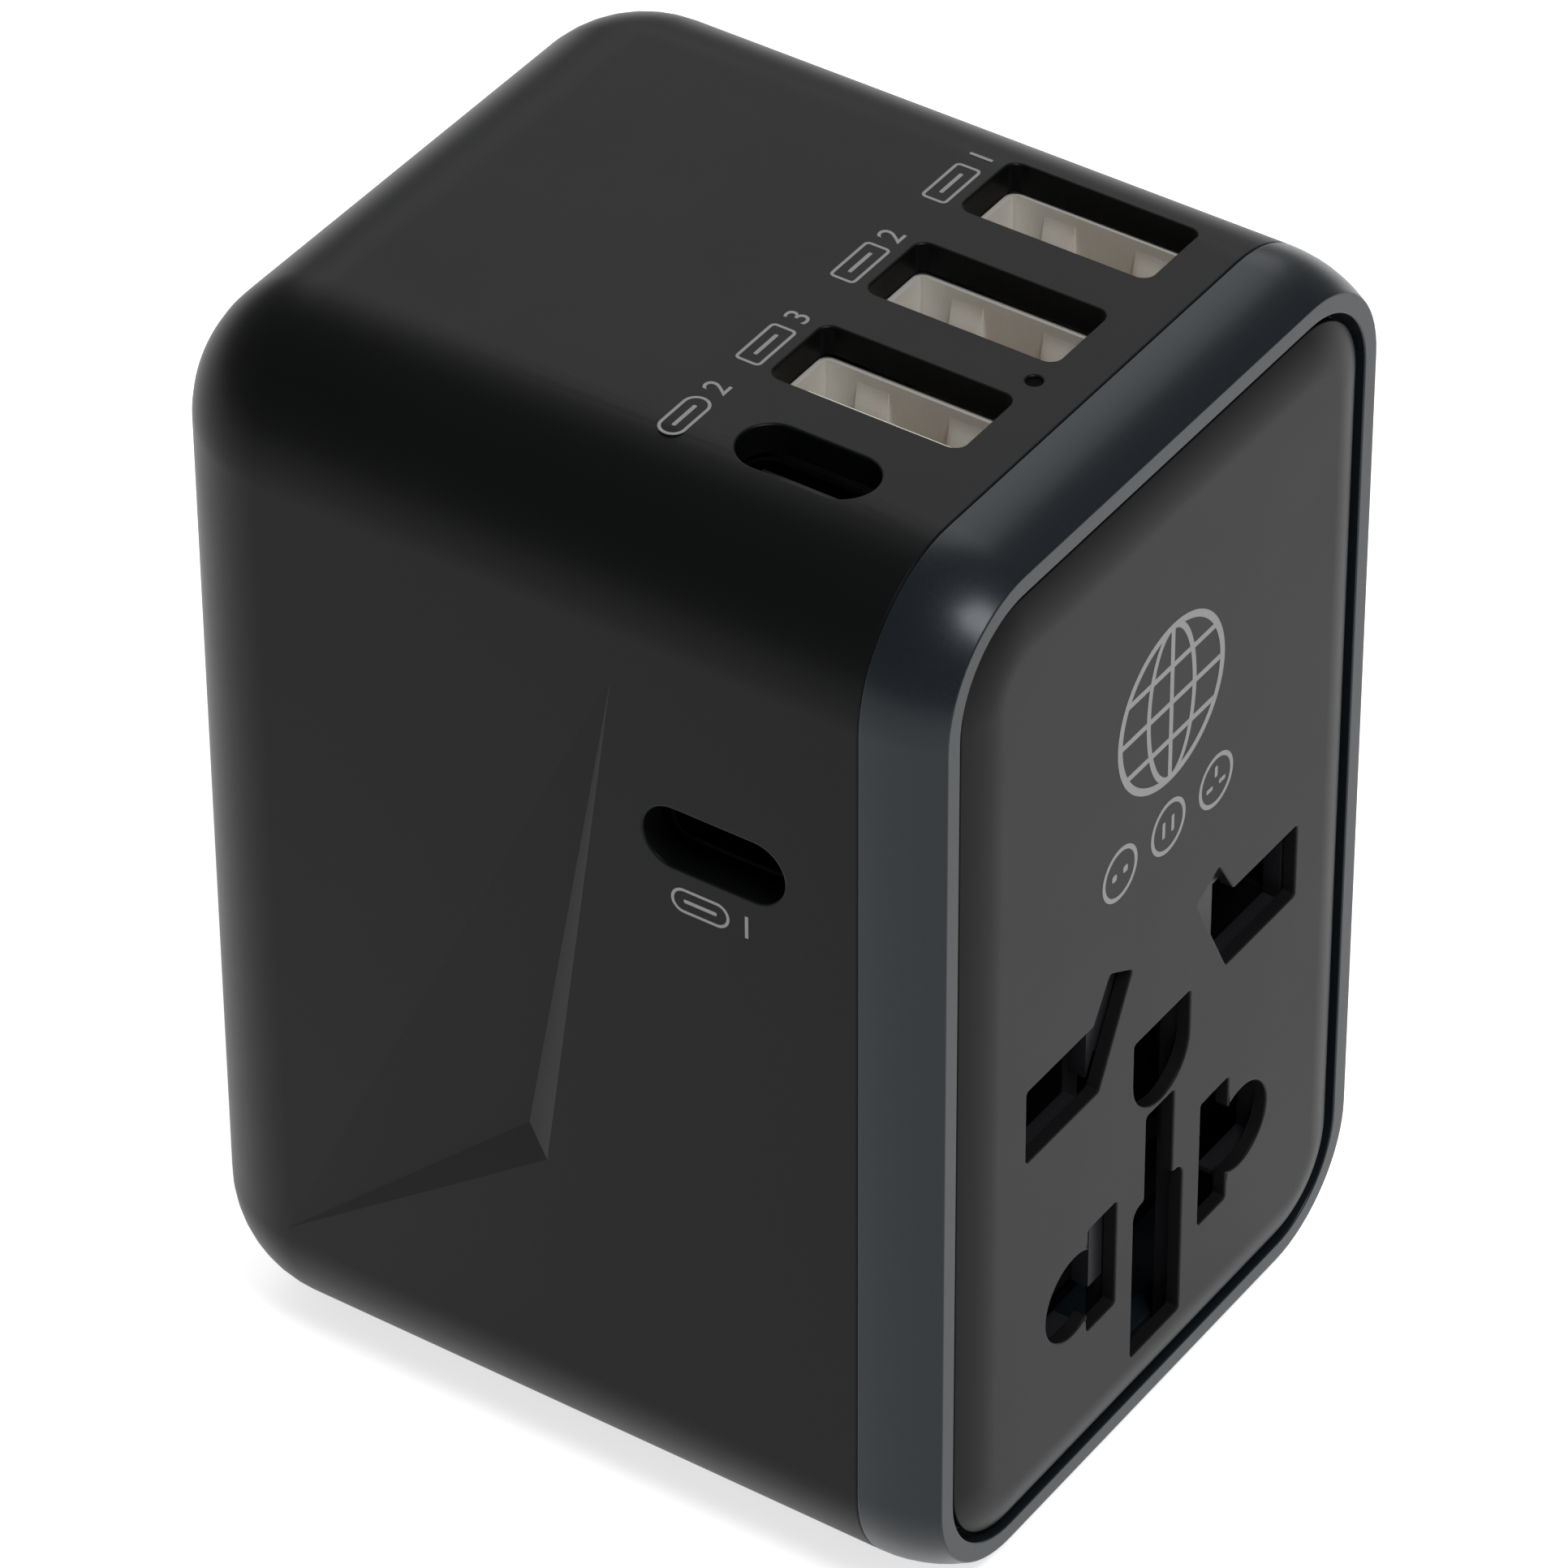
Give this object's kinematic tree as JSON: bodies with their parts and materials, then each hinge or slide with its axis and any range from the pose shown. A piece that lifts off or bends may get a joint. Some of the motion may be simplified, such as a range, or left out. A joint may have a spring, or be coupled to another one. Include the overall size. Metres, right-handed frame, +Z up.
{
  "type": "universal travel adapter",
  "caption": "Cube-like travel adapter: universal socket in front, USB ports on top and side, and sliding plug pins at the back.",
  "frame": {"origin": "middle of the flat bottom of the case, halfway along its depth", "axes": "+Z up from the bottom to the USB face, -Y out of the socket face, +Y out of the plug face, +X towards the knobs' side"},
  "size_m": [0.0507, 0.057, 0.0764],
  "materials": {
    "case_plastic": "fine moulded texture, black",
    "bezel_finish": "satin blue-grey",
    "face_plastic": "satin moulded, dark grey",
    "inner_plastic": "moulded, black",
    "spring_steel": "bright",
    "contact_brass": "stamped",
    "pin_metal": "nickel plated",
    "shell_steel": "stamped, plated",
    "tongue_plastic": "moulded, white",
    "black_tongue": "moulded, black",
    "board_laminate": "solder mask, green",
    "light_guide": "smoked clear",
    "ferrite": "sintered",
    "copper_wire": "enamelled wire",
    "can_aluminium": "sleeved can",
    "fuse_glass": "clear"
  },
  "bodies": {
    "case": {"bezel": "bezel_finish", "charge_controllers": "black_tongue", "earth_contact": "contact_brass", "earth_rail": "contact_brass", "filter_capacitors": "can_aluminium", "fuse": "fuse_glass", "fuse_clips": "contact_brass", "guide_frame": "inner_plastic", "housing": "case_plastic", "light_pipe": "light_guide", "live_contact": "contact_brass", "live_rail": "contact_brass", "neutral_contact": "contact_brass", "neutral_rail": "contact_brass", "plug_face": "case_plastic", "port_board": "board_laminate", "power_board": "board_laminate", "shutter_spring": "spring_steel", "socket_base": "inner_plastic", "socket_plate": "face_plastic", "socket_screws": "spring_steel", "status_led": "light_guide", "transformer_core": "ferrite", "transformer_winding": "copper_wire", "usb_a1_shell": "shell_steel", "usb_a1_tongue": "tongue_plastic", "usb_a2_shell": "shell_steel", "usb_a2_tongue": "tongue_plastic", "usb_a3_shell": "shell_steel", "usb_a3_tongue": "tongue_plastic", "usb_c1_shell": "shell_steel", "usb_c1_tongue": "black_tongue", "usb_c2_shell": "shell_steel", "usb_c2_tongue": "black_tongue"},
    "shutter": {"socket_shutter": "inner_plastic"},
    "us_plug": {"us_carriage": "inner_plastic", "us_wipers": "contact_brass", "us_knob_spring": "spring_steel"},
    "us_left_blade": {"us_blade_left": "pin_metal"},
    "us_right_blade": {"us_blade_right": "pin_metal"},
    "us_release": {"us_knob": "case_plastic"},
    "uk_plug": {"uk_carriage": "inner_plastic", "uk_live_pin": "pin_metal", "uk_neutral_pin": "pin_metal", "uk_earth_pin": "pin_metal", "uk_pin_sleeves": "inner_plastic", "uk_wipers": "contact_brass", "uk_knob_spring": "spring_steel"},
    "uk_release": {"uk_knob": "case_plastic"},
    "eu_plug": {"eu_carriage": "inner_plastic", "eu_pin_left": "pin_metal", "eu_pin_right": "pin_metal", "eu_pin_sleeves": "inner_plastic", "eu_wipers": "contact_brass", "eu_knob_spring": "spring_steel"},
    "eu_release": {"eu_knob": "case_plastic"}
  },
  "joints": [
    {"name": "shutter_slide", "type": "slide", "parent": "case", "child": "shutter", "axis": [0, 0, 1], "range_m": [0, 0.0066], "stiffness_N_per_m": 120, "springref_m": -0.003, "deforming": ["shutter_spring"]},
    {"name": "us_slide", "type": "slide", "parent": "case", "child": "us_plug", "axis": [0, 1, 0], "range_m": [0, 0.0175]},
    {"name": "us_press", "type": "slide", "parent": "us_plug", "child": "us_release", "axis": [-1, 0, 0], "range_m": [0, 0.0008], "stiffness_N_per_m": 400, "springref_m": -0.001, "deforming": ["us_knob_spring"]},
    {"name": "uk_slide", "type": "slide", "parent": "case", "child": "uk_plug", "axis": [0, 1, 0], "range_m": [0, 0.0212]},
    {"name": "uk_press", "type": "slide", "parent": "uk_plug", "child": "uk_release", "axis": [-1, 0, 0], "range_m": [0, 0.0008], "stiffness_N_per_m": 400, "springref_m": -0.001, "deforming": ["uk_knob_spring"]},
    {"name": "eu_slide", "type": "slide", "parent": "case", "child": "eu_plug", "axis": [0, 1, 0], "range_m": [0, 0.0195]},
    {"name": "eu_press", "type": "slide", "parent": "eu_plug", "child": "eu_release", "axis": [-1, 0, 0], "range_m": [0, 0.0008], "stiffness_N_per_m": 400, "springref_m": -0.001, "deforming": ["eu_knob_spring"]},
    {"name": "us_left_twist", "type": "hinge", "parent": "us_plug", "child": "us_left_blade", "pos_m": [-0.00635, 0.00175, 0.06], "axis": [0, 1, 0], "range_deg": [0, 30]},
    {"name": "us_right_twist", "type": "hinge", "parent": "us_plug", "child": "us_right_blade", "pos_m": [0.00635, 0.00175, 0.06], "axis": [0, -1, 0], "range_deg": [0, 30]}
  ]
}
